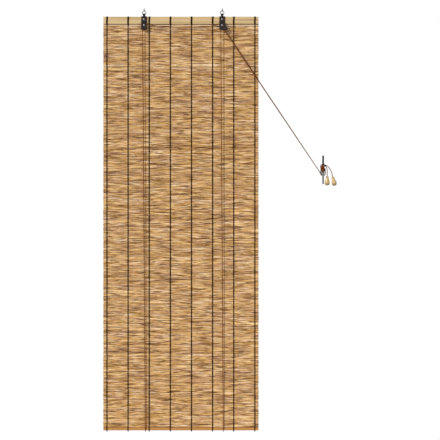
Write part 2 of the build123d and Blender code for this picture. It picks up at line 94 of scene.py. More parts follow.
class ReedBlindColours(bpy.types.PropertyGroup):
    """Base colours of the finishes"""

    straw: colour_property("Straw", "Palest golden skin", (0.93, 0.66, 0.32))
    gold: colour_property("Gold", "Most of the golden skin", (0.74, 0.44, 0.145))
    ochre: colour_property("Ochre", "Darker golden skin", (0.40, 0.195, 0.052))
    # Umber also colours the thin filler reeds, where it is painted shade.
    umber: colour_property("Umber", "Dark dashes along the reeds", (0.105, 0.040, 0.004))
    cream: colour_property("Cream", "Palest weathered skin", (0.96, 0.74, 0.50))
    rose: colour_property("Rose", "Most of the weathered skin", (0.62, 0.36, 0.185))
    mauve: colour_property("Mauve", "Darker weathered skin", (0.33, 0.175, 0.088))
    slat: colour_property("Slat", "Planed wood of the slat", (0.64, 0.46, 0.225))
    rod: colour_property("Rod", "Pale stick under the slat", (0.84, 0.61, 0.39))
    batten: colour_property("Batten", "Stained wood of the batten", (0.47, 0.21, 0.045))
    twine: colour_property("Twine", "Dark brown twine", (0.030, 0.0105, 0.0014))
    cord: colour_property("Cord", "Red-brown braided cord", (0.205, 0.057, 0.0095))
    bronze: colour_property("Bronze", "Bracket lacquer", (0.040, 0.026, 0.022))
    cleat: colour_property("Cleat", "Cast grey metal of the cleat", (0.038, 0.040, 0.042))
    pull: colour_property("Pull", "Turned light wood of the pulls", (0.60, 0.405, 0.18))
    wire: colour_property("Wire", "Plated wire of the screw eyes", (0.065, 0.062, 0.060))
    wheel: colour_property("Wheel", "Moulded nylon of the wheels", (0.10, 0.075, 0.06))


def sizes():
    return bpy.context.scene.reed_blind_sizes


def colours():
    return bpy.context.scene.reed_blind_colours


# ---------------------------------------------------------------- mesh making
def circle(sides, width, height=None, turn=0.0):
    """A closed profile: an ellipse of that half width and half height."""
    angle = np.linspace(0, 2 * np.pi, sides, endpoint=False) + turn
    return np.stack([np.cos(angle) * width, np.sin(angle) * (height or width)], axis=-1)


def sweep(line, profile, side=None):
    """Rings of a profile carried along a line. side keeps the profile's first axis turned that way."""
    line = np.asarray(line, float)
    ahead = np.gradient(line, axis=0)
    ahead /= np.linalg.norm(ahead, axis=1, keepdims=True)
    if side is None:
        first = np.zeros_like(ahead)
        start = np.cross(ahead[0], (0.3, 0.9, 0.2))
        for index, direction in enumerate(ahead):
            start = start - direction * (start @ direction)
            start = start / np.linalg.norm(start)
            first[index] = start
    else:
        side = np.asarray(side, float)
        first = side - (ahead @ side)[:, None] * ahead
        first /= np.linalg.norm(first, axis=1, keepdims=True)
    second = np.cross(ahead, first)
    profile = np.broadcast_to(profile, (len(line),) + profile.shape[-2:])
    return line[:, None] + profile[..., :1] * first[:, None] + profile[..., 1:] * second[:, None]


def solid(name, tubes, flat=(), attributes=None):
    """One mesh object of several closed tubes. Each tube is rings of points, and flat lists the bands
    between rings, counted from either end, that are shaded flat."""
    vertices, loops, starts, smooth = [], [], [], []
    vertex_count = loop_count = 0
    for rings in tubes:
        count, sides = rings.shape[:2]
        index = vertex_count + np.arange(count * sides).reshape(count, sides)
        following = np.roll(index, -1, axis=1)
        quads = np.stack([index[:-1], following[:-1], following[1:], index[1:]], axis=-1)
        band_smooth = np.ones((count - 1, sides), bool)
        for band in flat:
            band_smooth[band] = False
        loops += [quads.reshape(-1), index[0, ::-1], index[-1]]
        quad_count = (count - 1) * sides
        caps = loop_count + 4 * quad_count
        starts += [loop_count + 4 * np.arange(quad_count), [caps, caps + sides]]
        smooth += [band_smooth.reshape(-1), [False, False]]
        vertices.append(rings.reshape(-1, 3))
        vertex_count += count * sides
        loop_count = caps + 2 * sides
    vertices, loops = np.concatenate(vertices), np.concatenate(loops)
    starts, smooth = np.concatenate(starts), np.concatenate(smooth)
    mesh = bpy.data.meshes.new(name)
    mesh.vertices.add(len(vertices))
    mesh.vertices.foreach_set("co", vertices.astype(np.float32).ravel())
    mesh.loops.add(len(loops))
    mesh.loops.foreach_set("vertex_index", loops.astype(np.int32))
    mesh.polygons.add(len(starts))
    mesh.polygons.foreach_set("loop_start", starts.astype(np.int32))
    mesh.polygons.foreach_set("use_smooth", smooth)
    for label, values in (attributes or {}).items():
        layer = mesh.attributes.new(label, "FLOAT", "POINT")
        layer.data.foreach_set("value", np.asarray(values, np.float32).ravel())
    mesh.update(calc_edges=True)
    if mesh.validate():
        raise RuntimeError(f"{name} has faces that aren't valid")
    piece = bpy.data.objects.new(name, mesh)
    bpy.context.scene.collection.objects.link(piece)
    return piece


def nurbs(name, points, radius, resolution=14):
    """A smooth cord: one NURBS spline with these control points, in metres."""
    curve = bpy.data.curves.new(name, "CURVE")
    curve.dimensions = "3D"
    spline = curve.splines.new("NURBS")
    spline.points.add(len(points) - 1)
    for point, place in zip(spline.points, points):
        point.co = (*place, 1.0)
    spline.order_u = 3
    spline.use_endpoint_u = True
    spline.resolution_u = resolution
    curve.resolution_u = resolution
    curve.bevel_depth = radius
    curve.bevel_resolution = 3
    curve.use_fill_caps = True
    piece = bpy.data.objects.new(name, curve)
    bpy.context.scene.collection.objects.link(piece)
    return piece


def line_of(points, resolution=14):
    """Points read along the NURBS spline of a route."""
    bare = nurbs("bare_route", points, 0.0, resolution)
    mesh = bpy.data.meshes.new_from_object(bare)
    line = np.array([vertex.co for vertex in mesh.vertices])
    curve = bare.data
    bpy.data.objects.remove(bare)
    bpy.data.curves.remove(curve)
    bpy.data.meshes.remove(mesh)
    return line


def length_of(line):
    return float(np.linalg.norm(np.diff(line, axis=0), axis=1).sum())


def rounded(points, times):
    """A coarse line with its corners cut, so many times over."""
    line = np.asarray(points, float)
    for _ in range(times):
        cut = np.repeat(line, 2, axis=0)
        cut[1:-1:2] = 0.75 * line[:-1] + 0.25 * line[1:]
        cut[2:-1:2] = 0.25 * line[:-1] + 0.75 * line[1:]
        line = cut
    return line


def finish_piece(piece, material, body, replaced=()):
    """Give a new piece its material and its body, and hide the CAD nodes that it stands for."""
    piece.data.materials.append(material)
    if body:
        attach(piece, body)
    if replaced:
        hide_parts(*replaced)


def dress(nodes, material):
    """Put a material on CAD nodes that are shown as they are."""
    for name in nodes:
        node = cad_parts[name]
        if not node.material_slots:
            node.data.materials.append(material)
        for place in node.material_slots:
            place.material = material


# ---------------------------------------------------------------- shader node groups
def feed(tree, node, values):
    """Set a node's inputs, each to a value or to another node's socket."""
    for name, value in values.items():
        if isinstance(value, bpy.types.NodeSocket):
            tree.links.new(value, node.inputs[name])
        else:
            node.inputs[name].default_value = value
    return node


def add(tree, kind, values=None, **settings):
    """A new node: settings are its properties, and values its inputs."""
    node = tree.nodes.new(kind)
    for name, value in settings.items():
        setattr(node, name, value)
    return feed(tree, node, values or {})


def new_group(name, inputs, outputs):
    """An empty shader group and its two end nodes: a place vector and the inputs, with their values to start
    with, go in, and plain numbers come out."""
    group = bpy.data.node_groups.new(name, "ShaderNodeTree")
    for label, value in {"Vector": (0.0, 0.0, 0.0), **inputs}.items():
        kind = "NodeSocketVector" if isinstance(value, tuple) else "NodeSocketFloat"
        group.interface.new_socket(label, in_out="INPUT", socket_type=kind).default_value = value
    for label in outputs:
        group.interface.new_socket(label, in_out="OUTPUT", socket_type="NodeSocketFloat")
    return group, group.nodes.new("NodeGroupInput").outputs, group.nodes.new("NodeGroupOutput").inputs


def kept_group(build):
    """A shader group is built the first time that it is asked for, and found by its name after that."""
    name = build.__name__.replace("_", " ").title()

    @wraps(build)
    def fetch():
        return bpy.data.node_groups.get(name) or build(name)

    return fetch


def maths(tree, operation, first, second=0.0, clamp=False):
    node = add(tree, "ShaderNodeMath", {0: first, 1: second}, operation=operation, use_clamp=clamp)
    return node.outputs[0]


def weighed(tree, *parts, plus=None, clamp=False):
    """The sum of values times their weights, and of a plain number."""
    total = maths(tree, "MULTIPLY", *parts[0])
    for number, part in enumerate(parts[1:], start=2):
        last = number == len(parts) and plus is None
        total = maths(tree, "ADD", total, maths(tree, "MULTIPLY", *part), clamp=clamp and last)
    return total if plus is None else maths(tree, "ADD", total, plus, clamp=clamp)


def noise(tree, place, scale, detail, roughness=0.5):
    values = {"Vector": place, "Scale": scale, "Detail": detail, "Roughness": roughness}
    return add(tree, "ShaderNodeTexNoise", values).outputs[0]


def stretched(tree, place, scale):
    return add(tree, "ShaderNodeVectorMath", {0: place, 1: scale}, operation="MULTIPLY").outputs[0]


def closed(group, leave, **outputs):
    """A finished group, with a socket for each of its outputs."""
    for name, socket in outputs.items():
        group.links.new(socket, leave[name])
    return group


def spread_of(tree, value, low, high):
    """A value stretched so that low becomes 0 and high becomes 1."""
    node = add(tree, "ShaderNodeMapRange", {"Value": value, "From Min": low, "From Max": high})
    return node.outputs["Result"]


def ramp(tree, value, stops):
    """Colours by value; stops are (place, colour)."""
    node = add(tree, "ShaderNodeValToRGB", {"Fac": value})
    while len(node.color_ramp.elements) < len(stops):
        node.color_ramp.elements.new(0.5)
    for element, (place, colour) in zip(node.color_ramp.elements, stops):
        element.position = place
        element.color = (*colour, 1.0)
    return node.outputs["Color"]


def blended(tree, share, first, second):
    """Two colours mixed; the first is a socket, and the second a colour or a socket."""
    if not isinstance(second, bpy.types.NodeSocket):
        second = (*second, 1.0)
    return add(tree, "ShaderNodeMix", {0: share, 6: first, 7: second}, data_type="RGBA").outputs[2]


@kept_group
def long_grain(name):
    """Streaks and fibres that run along one axis, for reeds and sawn wood."""
    group, enter, leave = new_group(name, {"Scale": (20.0, 400.0, 400.0), "Contrast": 0.25},
                                    ("Streaks", "Fibres", "Height"))
    scaled = stretched(group, enter["Vector"], enter["Scale"])
    low = maths(group, "SUBTRACT", 0.5, enter["Contrast"])
    high = maths(group, "ADD", 0.5, enter["Contrast"])
    streaks = spread_of(group, noise(group, scaled, 1.0, 3.0, 0.55), low, high)
    fibres = spread_of(group, noise(group, scaled, 3.7, 2.0, 0.6), 0.3, 0.7)
    height = weighed(group, (streaks, 0.4), (fibres, 0.6))
    return closed(group, leave, Streaks=streaks, Fibres=fibres, Height=height)


@kept_group
def growth_rings(name):
    """Wavy bands of early and late wood."""
    group, enter, leave = new_group(name, {"Scale": (1.0, 1.0, 1.0), "Rings": 200.0, "Waviness": 3.0},
                                    ("Rings",))
    wave = add(group, "ShaderNodeTexWave",
               {"Vector": stretched(group, enter["Vector"], enter["Scale"]), "Scale": enter["Rings"],
                "Distortion": enter["Waviness"], "Detail": 2.0, "Detail Scale": 0.35},
               wave_type="BANDS", bands_direction="Z", wave_profile="SAW")
    return closed(group, leave, Rings=wave.outputs["Fac"])


@kept_group
def edge_wear(name):
    """A mask of the edges that hands and cords rub bare."""
    group, enter, leave = new_group(name, {"Radius": 0.0006, "Breakup": 900.0}, ("Wear",))
    bevel = add(group, "ShaderNodeBevel", {"Radius": enter["Radius"]}, samples=4)
    plain = add(group, "ShaderNodeNewGeometry")
    match = add(group, "ShaderNodeVectorMath", {0: bevel.outputs[0], 1: plain.outputs["Normal"]},
                operation="DOT_PRODUCT")
    edge = spread_of(group, match.outputs["Value"], 0.995, 0.85)
    patchy = spread_of(group, noise(group, enter["Vector"], enter["Breakup"], 3.0), 0.42, 0.62)
    return closed(group, leave, Wear=maths(group, "MULTIPLY", edge, patchy, clamp=True))


@kept_group
def patina(name):
    """Soft patches of duller and brighter finish, with fine pitting."""
    group, enter, leave = new_group(name, {"Patch Scale": 120.0, "Pit Scale": 1500.0}, ("Patches", "Pits"))
    patches = spread_of(group, noise(group, enter["Vector"], enter["Patch Scale"], 4.0), 0.3, 0.7)
    pits = spread_of(group, noise(group, enter["Vector"], enter["Pit Scale"], 2.0), 0.3, 0.7)
    return closed(group, leave, Patches=patches, Pits=pits)


@kept_group
def plaited(name):
    """Small crossing strands, for braided cord and twisted twine."""
    group, enter, leave = new_group(name, {"Scale": 900.0, "Lay": 0.9}, ("Height", "Tint"))
    parts = add(group, "ShaderNodeSeparateXYZ", {"Vector": enter["Vector"]})
    across = maths(group, "ADD", parts.outputs[0], parts.outputs[1])
    turns = maths(group, "MULTIPLY", enter["Scale"], 6.0)
    strands = []
    for sign in (1.0, -1.0):
        slope = maths(group, "MULTIPLY", parts.outputs[2], maths(group, "MULTIPLY", enter["Lay"], sign))
        turn = maths(group, "MULTIPLY", maths(group, "ADD", across, slope), turns)
        strands.append(maths(group, "ABSOLUTE", maths(group, "SINE", turn)))
    height = maths(group, "POWER", maths(group, "MULTIPLY", *strands), 0.5)
    tint = spread_of(group, noise(group, enter["Vector"], enter["Scale"], 3.0), 0.3, 0.7)
    return closed(group, leave, Height=height, Tint=tint)


def placed(tree, group, **values):
    """A group placed in a material with its own values; underscores stand for spaces."""
    values = {name.replace("_", " "): value for name, value in values.items()}
    return add(tree, "ShaderNodeGroup", values, node_tree=group).outputs


def new_material(name):
    """An empty material with its Principled shader and object coordinates."""
    material = bpy.data.materials.new(name)
    material.use_nodes = True
    tree = material.node_tree
    shader = tree.nodes["Principled BSDF"]
    place = tree.nodes.new("ShaderNodeTexCoord").outputs["Object"]
    return material, tree, shader, place


def bumped(tree, height, strength, distance):
    values = {"Height": height, "Strength": strength, "Distance": distance}
    return add(tree, "ShaderNodeBump", values).outputs["Normal"]


# ---------------------------------------------------------------- finishes
CUT_REED = (0.62, 0.44, 0.26)


def toned(colour, share):
    """A colour made darker or lighter."""
    return [min(1.0, part * share) for part in colour]


def reed_finish():
    """Natural reeds: golden or weathered skin in short mottled streaks, dark dashes and paler cut ends."""
    hue = colours()
    material, tree, shader, place = new_material("reed")
    tone, seed, joint, cut = (add(tree, "ShaderNodeAttribute", attribute_name=f"reed_{name}").outputs["Fac"]
                              for name in ("tone", "seed", "joint", "cut"))
    shift = add(tree, "ShaderNodeCombineXYZ",
                {0: maths(tree, "MULTIPLY", seed, 7.0), 1: maths(tree, "MULTIPLY", seed, 3.0), 2: 0.0})
    own = add(tree, "ShaderNodeVectorMath", {0: place, 1: shift.outputs[0]}, operation="ADD").outputs[0]
    skin = placed(tree, long_grain(), Vector=own, Scale=(19.0, 240.0, 240.0), Contrast=0.17)
    grain = placed(tree, long_grain(), Vector=own, Scale=(36.0, 620.0, 620.0), Contrast=0.2)
    kind = placed(tree, long_grain(), Vector=own, Scale=(12.0, 80.0, 80.0), Contrast=0.1)
    dash = placed(tree, long_grain(), Vector=own, Scale=(26.0, 420.0, 420.0), Contrast=0.12)
    level = weighed(tree, (skin["Streaks"], 0.74), (grain["Streaks"], 0.18), (tone, 0.26), plus=-0.07,
                    clamp=True)
    golden = ramp(tree, level, [(0.05, hue.umber), (0.26, hue.ochre), (0.54, hue.gold), (0.86, hue.straw)])
    weathered = ramp(tree, level, [(0.05, hue.umber), (0.3, hue.mauve), (0.58, hue.rose), (0.88, hue.cream)])
    colour = blended(tree, kind["Streaks"], golden, weathered)
    dark = maths(tree, "MULTIPLY", spread_of(tree, dash["Streaks"], 0.24, 0.04), 0.9, clamp=True)
    colour = blended(tree, dark, colour, hue.umber)
    colour = blended(tree, maths(tree, "MULTIPLY", joint, 0.5, clamp=True), colour, hue.umber)
    feed(tree, shader, {
        "Base Color": blended(tree, cut, colour, CUT_REED),
        "Roughness": weighed(tree, (grain["Fibres"], 0.18), plus=0.42),
        "Specular IOR Level": 0.25,
        "Normal": bumped(tree, grain["Height"], 0.35, 0.0003),
    })
    return material


def faded(tree, place, colour, low, high, other, most):
    """A colour that turns into another one towards the height low, from the height high."""
    height = add(tree, "ShaderNodeSeparateXYZ", {0: place}).outputs[2]
    share = maths(tree, "MULTIPLY", spread_of(tree, height, high, low), most, clamp=True)
    return blended(tree, share, colour, other)


def wood_finish(name, colour, dark, scale, ring_scale, rings, coat=0.0, roughness=0.5, contrast=0.25,
                strength=0.2, painted_shade_fades=(), upright=False):
    """Sawn or turned wood: growth rings and long fibres in two shades, along X or upright along Z."""
    material, tree, shader, place = new_material(name)
    along = place
    if upright:
        lean = (0.0, math.radians(86.0), 0.0)
        along = add(tree, "ShaderNodeMapping", {"Vector": place, "Rotation": lean}).outputs[0]
    band = placed(tree, growth_rings(), Vector=along, Scale=ring_scale, Rings=rings, Waviness=4.0)
    grain = placed(tree, long_grain(), Vector=along, Scale=scale, Contrast=contrast)
    shade = weighed(tree, (band["Rings"], 0.35), (grain["Streaks"], 0.65), clamp=True)
    mixed = ramp(tree, shade, [(0.0, dark), (0.45, colour), (1.0, toned(colour, 1.12))])
    fleck = maths(tree, "MULTIPLY", spread_of(tree, grain["Fibres"], 0.35, 0.0), 0.35, clamp=True)
    mixed = blended(tree, fleck, mixed, dark)
    # Painted shade, where asked for: the colour fades to a darker one towards given heights.
    for fade in painted_shade_fades:
        mixed = faded(tree, place, mixed, *fade)
    feed(tree, shader, {
        "Base Color": mixed,
        "Roughness": weighed(tree, (grain["Fibres"], 0.15), plus=roughness - 0.08),
        "Coat Weight": coat,
        "Coat Roughness": 0.2,
        "Normal": bumped(tree, grain["Height"], strength, 0.0003),
    })
    return material


def plaited_finish(name, colour, scale, lay, depth, gloss):
    """Braided cord or twisted twine, matt, with painted shade in the hollows between its strands and painted
    light on their crowns.
    """
    material, tree, shader, place = new_material(name)
    strand = placed(tree, plaited(), Vector=place, Scale=scale, Lay=lay)
    # Painted shade and highlight: the strands' height darkens the colour in the hollows and lightens it on
    # the crowns, mixed with a random tint.
    shade = weighed(tree, (strand["Height"], 0.7), (strand["Tint"], 0.3))
    stops = [(0.15, toned(colour, 0.5)), (0.6, colour), (1.0, toned(colour, 1.5))]
    feed(tree, shader, {
        "Base Color": ramp(tree, shade, stops),
        "Roughness": weighed(tree, (strand["Tint"], 0.15), plus=0.68),
        "Specular IOR Level": gloss,
        "Normal": bumped(tree, strand["Height"], 1.0, depth),
    })
    return material


def metal_finish(name, colour, metallic, roughness, worn=None, wear_radius=0.0006, patch_shade=0.75,
                 pits=0.15, fade=None):
    """Lacquered, cast or plated metal, worn bare along its edges where worn is a colour."""
    material, tree, shader, place = new_material(name)
    age = placed(tree, patina(), Vector=place)
    mixed = ramp(tree, age["Patches"], [(0.1, toned(colour, patch_shade)), (0.9, colour)])
    # A fade paints a colour by height: painted reflection on the cleat, painted shade with blackened steel on
    # the screw eyes.
    if fade:
        mixed = faded(tree, place, mixed, *fade)
    if worn:
        wear = placed(tree, edge_wear(), Vector=place, Radius=wear_radius)["Wear"]
        mixed = blended(tree, maths(tree, "MULTIPLY", wear, 0.8, clamp=True), mixed, worn)
        metallic = weighed(tree, (wear, 1.0 - metallic), plus=metallic, clamp=True)
    feed(tree, shader, {
        "Base Color": mixed,
        "Roughness": weighed(tree, (age["Patches"], 0.14), plus=roughness - 0.07),
        "Metallic": metallic,
        "Normal": bumped(tree, age["Pits"], pits, 0.0001),
    })
    return material


# ---------------------------------------------------------------- cords
# Each route is the control points of one smooth cord, in metres.
LIFT_LEFT = [
    (0.0, 0.0075, -0.0455), (0.0002, 0.0075, -0.0635), (0.0051, 0.0060, -1.6104),
    (0.0052, 0.0059, -1.6284), (0.0052, -0.0059, -1.6284), (0.0051, -0.0060, -1.6104),
    (-0.0053, -0.0098, -0.0715), (-0.0055, -0.0098, -0.0533), (0.0070, -0.0097, -0.0534),
    (0.0380, -0.0094, -0.0598), (0.0861, -0.0090, -0.0652), (0.1401, -0.0086, -0.0679),
    (0.1960, -0.0082, -0.0672), (0.2479, -0.0078, -0.0626), (0.2860, -0.0075, -0.0562),
    (0.2960, -0.0074, -0.0536), (0.3075, -0.0074, -0.0532), (0.3079, -0.0075, -0.07262),
    (0.31369, -0.0074, -0.08093),
]
LIFT_RIGHT = [
    (0.3020, 0.0075, -0.0455), (0.3021, 0.0075, -0.0635), (0.3064, 0.0060, -1.6104),
    (0.3065, 0.0059, -1.6284), (0.3065, -0.0059, -1.6284), (0.3064, -0.0060, -1.6104),
    (0.2967, -0.0121, -0.0715), (0.2965, -0.0122, -0.0533), (0.3075, -0.0122, -0.0532),
    (0.3079, -0.0123, -0.07262), (0.31369, -0.0122, -0.08093),
]
DRAW_LEFT = [
    (0.31369, -0.0074, -0.08093), (0.32393, -0.0072, -0.09568), (0.49898, -0.00376, -0.35503),
    (0.68308, -0.00012, -0.63093),
]
DRAW_RIGHT = [
    (0.31369, -0.0122, -0.08093), (0.32353, -0.01197, -0.09608), (0.49778, -0.0079, -0.35683),
    (0.68308, -0.00359, -0.63093),
]
TAIL_1 = [
    (0.6995, -0.0010, -0.6005), (0.7040, -0.0055, -0.6030), (0.7068, -0.0090, -0.6110),
    (0.7079, -0.0105, -0.6230), (0.7077, -0.0105, -0.6359), (0.7077, -0.0105, -0.6659),
]
TAIL_2 = [
    (0.6970, 0.0035, -0.5970), (0.7045, 0.0003, -0.5985), (0.7130, -0.0050, -0.6055),
    (0.7200, -0.0090, -0.6160), (0.7253, -0.0104, -0.6280), (0.72765, -0.0105, -0.63795),
    (0.7344, -0.0105, -0.66718),
]
CLEAT_X, CLEAT_Z = 0.692, -0.617
# Where a turn crosses the cleat's bar, its arc round a leg's end, and where it comes off the leg.
BAR_FRONT = -0.0128
LEG_ARC = [(-0.0092, 0.0150), (-0.0070, 0.0203), (0.0, 0.0228), (0.0070, 0.0203), (0.0092, 0.0150)]
LEG_END = 0.0095


def cleat_turns(start, loops, end):
    """A cord's figure-of-eight turns: down round the lower leg, over the bar, round the upper leg and back.
    loops lists (leg, depth, next crossing's height above the middle, how far it stands off the bar)."""
    points = list(start)
    for number, (leg, depth, rise, stand) in enumerate(loops):
        last = number == len(loops) - 1
        sign = 1 if leg == "upper" else -1
        arc = LEG_ARC[1 if number == 0 else 0:4 if last else 5]
        points += [(CLEAT_X + x, depth, CLEAT_Z + sign * z) for x, z in arc]
        if last:
            return points + [end]
        leave = max(LEG_END, sign * rise + 0.002)
        arrive = max(LEG_END, 0.002 - sign * rise)
        for x, share, z in ((0.0090, 0.30, sign * leave), (0.0082, 0.74, rise + sign * 0.0045),
                            (0.0044, 1.0, rise + sign * 0.0022), (0.0, 1.02, rise),
                            (-0.0044, 1.0, rise - sign * 0.0022), (-0.0082, 0.74, rise - sign * 0.0045),
                            (-0.0090, 0.30, -sign * arrive)):
            side = depth if x > 0 else loops[number + 1][1]
            points.append((CLEAT_X + x, side + (BAR_FRONT - stand - side) * share, CLEAT_Z + z))


TURNS_1 = cleat_turns([DRAW_LEFT[-1], (0.6845, 0.0001, -0.6330)], [
    ("lower", 0.0001, 0.0014, 0.0), ("upper", 0.0034, 0.0100, 0.0032),
    ("lower", 0.0034, 0.0050, 0.0), ("upper", 0.0001, 0.0, 0.0),
], TAIL_1[0])
TURNS_2 = cleat_turns([DRAW_RIGHT[-1], (0.6845, -0.0034, -0.6330)], [
    ("lower", -0.0032, -0.0022, 0.0), ("upper", 0.0067, 0.0152, 0.0032),
    ("lower", 0.0067, 0.0088, 0.0), ("upper", -0.0032, 0.0, 0.0),
], TAIL_2[0])


CAMERA_PLACE = (0.2936, -8.0, -0.8108)
CAMERA_LENS, CAMERA_SENSOR = 169.2, 36.0


class REED_BLIND_OT_camera(bpy.types.Operator):
    """Place the camera square in front of the blind"""

    bl_idname = "reed_blind.camera"
    bl_label = "Camera"

    def execute(self, context):
        lens = bpy.data.cameras.new("camera")
        lens.sensor_width = CAMERA_SENSOR
        lens.lens = CAMERA_LENS
        lens.clip_end = 50.0
        camera = bpy.data.objects.new("camera", lens)
        camera.location = CAMERA_PLACE
        camera.rotation_euler = (math.radians(90.0), 0.0, 0.0)
        context.scene.collection.objects.link(camera)
        context.scene.camera = camera
        return {"FINISHED"}


def cord_finish():
    """Red-brown braid; every cord and knot shares it."""
    name = "braided_cord"
    return bpy.data.materials.get(name) or plaited_finish(name, colours().cord, 430.0, 1.0, 0.0004, 0.05)


def limp_cord(name, route, body, nodes, resolution=14):
    """A braided cord along a route; its length is worked out but kept nowhere."""
    diameter = sizes().cord_diameter
    cord = nurbs(name, route, diameter / 2, resolution)
    finish_piece(cord, cord_finish(), body, nodes)
    length_of(line_of(route, resolution))


class REED_BLIND_OT_lift_cords(bpy.types.Operator):
    """Run the two lifting cords down the back, under the batten and up over the wheels"""

    bl_idname = "reed_blind.lift_cords"
    bl_label = "Lift Cords"

    def execute(self, context):
        for side, route in (("left", LIFT_LEFT), ("right", LIFT_RIGHT)):
            knot = wrapped_knot(f"shelf_knot_{side}", route[0], (0, 0, 1), 0.0029, 0.0054)
            finish_piece(knot, cord_finish(), BLIND, [f"cord_knot_{side}"])
            limp_cord(f"lift_cord_braid_{side}", route, BLIND, [f"lift_cord_{side}"])
        return {"FINISHED"}


class REED_BLIND_OT_draw_cords(bpy.types.Operator):
    """Stretch the two draw cords from the guide roller to the cleat"""

    bl_idname = "reed_blind.draw_cords"
    bl_label = "Draw Cords"

    def execute(self, context):
        diameter = sizes().cord_diameter
        for side, route in (("left", DRAW_LEFT), ("right", DRAW_RIGHT)):
            line = line_of(route, 24)
            cord = solid(f"draw_cord_braid_{side}", [sweep(line, circle(14, diameter / 2))])
            finish_piece(cord, cord_finish(), None, [f"draw_cord_{side}"])
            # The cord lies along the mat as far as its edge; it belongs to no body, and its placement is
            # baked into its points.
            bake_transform(cord)
        return {"FINISHED"}


class REED_BLIND_OT_cleat_turns(bpy.types.Operator):
    """Make the cords off round the cleat in figures of eight"""

    bl_idname = "reed_blind.cleat_turns"
    bl_label = "Turns on the Cleat"

    def execute(self, context):
        for number, route in (("1", TURNS_1), ("2", TURNS_2)):
            limp_cord(f"cleat_turns_{number}", route, FIXINGS, ["cord_winding"], resolution=8)
        return {"FINISHED"}


class REED_BLIND_OT_pulls(bpy.types.Operator):
    """Hang the two turned wooden pulls from the cords' ends"""

    bl_idname = "reed_blind.pulls"
    bl_label = "Pulls"

    def execute(self, context):
        low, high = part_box("wooden_pull_1")
        # Painted shade: each pull darkens strongly towards its bottom and a little towards its top.
        turned = wood_finish("pull_wood", colours().pull, (0.42, 0.25, 0.10), (30.0, 420.0, 420.0),
                             (0.12, 1.0, 1.0), 75.0, coat=0.25, roughness=0.4, contrast=0.3, upright=True,
                             painted_shade_fades=((low.z, low.z + 0.010, (0.16, 0.115, 0.045), 0.85),
                                    (high.z + 0.002, high.z - 0.009, (0.30, 0.18, 0.09), 0.6)))
        for number, route in (("1", TAIL_1), ("2", TAIL_2)):
            dress([f"wooden_pull_{number}"], turned)
            axis = Vector(route[-2]) - Vector(route[-1])
            knot = wrapped_knot(f"pull_stopper_{number}", route[-1], -axis, 0.0033, 0.0058)
            finish_piece(knot, cord_finish(), FIXINGS, [f"pull_knot_{number}"])
            limp_cord(f"tail_cord_braid_{number}", route, FIXINGS, [f"tail_cord_{number}"])
        return {"FINISHED"}


def around(axis, angle):
    """An axis at unit length, and the directions out from it at these angles."""
    axis = Vector(axis).normalized()
    side = axis.orthogonal().normalized()
    other = axis.cross(side)
    return np.array(axis), np.cos(angle)[:, None] * np.array(side) + np.sin(angle)[:, None] * np.array(other)


def wrapped_knot(name, base, axis, radius, height):
    """A stopper knot of close wraps, from its base along its axis."""
    strand = radius * 0.42
    turns, count = 2.6, 64
    axis, out = around(axis, np.linspace(0, 2 * np.pi * turns, count))
    climb = np.linspace(strand, height - strand, count)
    reach = (radius - strand) * (1.0 - 0.12 * np.cos(np.linspace(0, np.pi * turns, count)))
    base = np.array(base)
    helix = base + climb[:, None] * axis + reach[:, None] * out
    core = base + np.linspace(0.0002, height + 0.0006, 6)[:, None] * axis
    from_end = np.minimum(np.arange(count), np.arange(count)[::-1])
    thickness = np.clip(from_end / 3 + 0.3, 0, 1)
    end = np.array([0.25, 0.8, 1.0, 1.0, 0.8, 0.25])
    return solid(name, [
        sweep(helix, circle(8, strand) * thickness[:, None, None]),
        sweep(core, circle(10, radius * 0.55) * end[:, None, None]),
    ])


# ---------------------------------------------------------------- the mat
REED_SIDES = 10
MAT_PARTS = 6
CUT_DEPTH = 0.006
WARPS = 8


def reed_layout():
    """Each reed's centre height and radius, from the top down, with natural variation."""
    count = sizes().reed_count
    low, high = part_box("reed_mat")
    rng = np.random.default_rng(11)
    share = np.clip(rng.normal(1.0, 0.085, count), 0.8, 1.22)
    share = share / share.sum() * (high.z - low.z)
    edges = high.z - np.concatenate([[0.0], np.cumsum(share)])
    return (edges[:-1] + edges[1:]) / 2, share / 2


